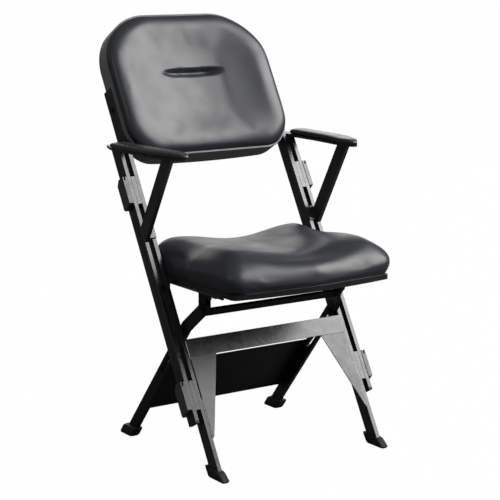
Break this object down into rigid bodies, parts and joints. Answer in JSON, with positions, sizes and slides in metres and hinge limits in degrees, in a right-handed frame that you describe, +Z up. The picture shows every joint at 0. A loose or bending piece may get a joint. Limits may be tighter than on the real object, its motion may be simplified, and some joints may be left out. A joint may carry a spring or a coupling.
{
  "type": "folding arena chair",
  "caption": "Portable folding X-frame chair with a padded seat that folds up, a padded back, arms on slanted struts, and side clamps that join it to the next chair.",
  "frame": {"origin": "on the floor, midway across the chair and midway front to back", "axes": "+X across the chair, to the right as seen from in front; +Y towards the back; +Z up"},
  "size_m": [0.53, 0.6314, 0.9683],
  "materials": {
    "frame_paint": "satin powder coat",
    "brace_paint": "satin powder coat",
    "clamp_paint": "satin powder coat",
    "pan_paint": "satin powder coat",
    "back_vinyl": "smooth semi-gloss vinyl",
    "seat_vinyl": "smooth semi-gloss vinyl",
    "shell_plastic": "matte moulded plastic",
    "arm_pad": "satin moulded pad",
    "foot_rubber": "matte",
    "cap_plastic": "matte",
    "fastener_steel": "zinc plated"
  },
  "bodies": {
    "frame": {"left_upright": "frame_paint", "right_upright": "frame_paint", "left_outer_rail": "frame_paint", "right_outer_rail": "frame_paint", "left_upright_cap": "cap_plastic", "right_upright_cap": "cap_plastic", "left_outer_cap": "cap_plastic", "right_outer_cap": "cap_plastic", "left_upper_spacer": "frame_paint", "right_upper_spacer": "frame_paint", "left_lower_spacer": "frame_paint", "right_lower_spacer": "frame_paint", "left_upper_clamp": "clamp_paint", "right_upper_clamp": "clamp_paint", "left_lower_clamp": "clamp_paint", "right_lower_clamp": "clamp_paint", "clamp_bolts": "fastener_steel", "front_stretcher": "brace_paint", "left_gusset": "brace_paint", "right_gusset": "brace_paint", "left_front_foot": "foot_rubber", "right_front_foot": "foot_rubber", "left_arm_plate": "frame_paint", "right_arm_plate": "frame_paint", "left_arm_pad": "arm_pad", "right_arm_pad": "arm_pad", "left_arm_strut": "frame_paint", "right_arm_strut": "frame_paint", "left_strut_plate": "frame_paint", "right_strut_plate": "frame_paint", "arm_screws": "fastener_steel", "back_shell": "shell_plastic", "back_cushion": "back_vinyl", "back_bolts": "fastener_steel", "left_guide_pin": "fastener_steel", "right_guide_pin": "fastener_steel", "left_seat_pin": "fastener_steel", "right_seat_pin": "fastener_steel"},
    "seat": {"seat_pan": "pan_paint", "seat_cushion": "seat_vinyl", "left_seat_ear": "frame_paint", "right_seat_ear": "frame_paint", "left_leg_bracket": "frame_paint", "right_leg_bracket": "frame_paint", "seat_rivets": "fastener_steel", "left_leg_pin": "fastener_steel", "right_leg_pin": "fastener_steel"},
    "rear_legs": {"left_rear_leg": "frame_paint", "right_rear_leg": "frame_paint", "rear_crossbar": "frame_paint", "rear_panel": "frame_paint", "panel_screws": "fastener_steel", "left_rear_foot": "foot_rubber", "right_rear_foot": "foot_rubber"}
  },
  "joints": [
    {"name": "seat_fold", "type": "hinge", "parent": "frame", "child": "seat", "pos_m": [0, -0.03382, 0.382], "axis": [-1, 0, 0], "range_deg": [0, 108]},
    {"name": "rear_leg_fold", "type": "hinge", "parent": "seat", "child": "rear_legs", "pos_m": [0, -0.14684, 0.358], "axis": [-1, 0, 0], "range_deg": [-50.8, 0]}
  ],
  "couplings": [
    {"joint": "rear_leg_fold", "follows": "seat_fold", "ratio": -0.47}
  ]
}
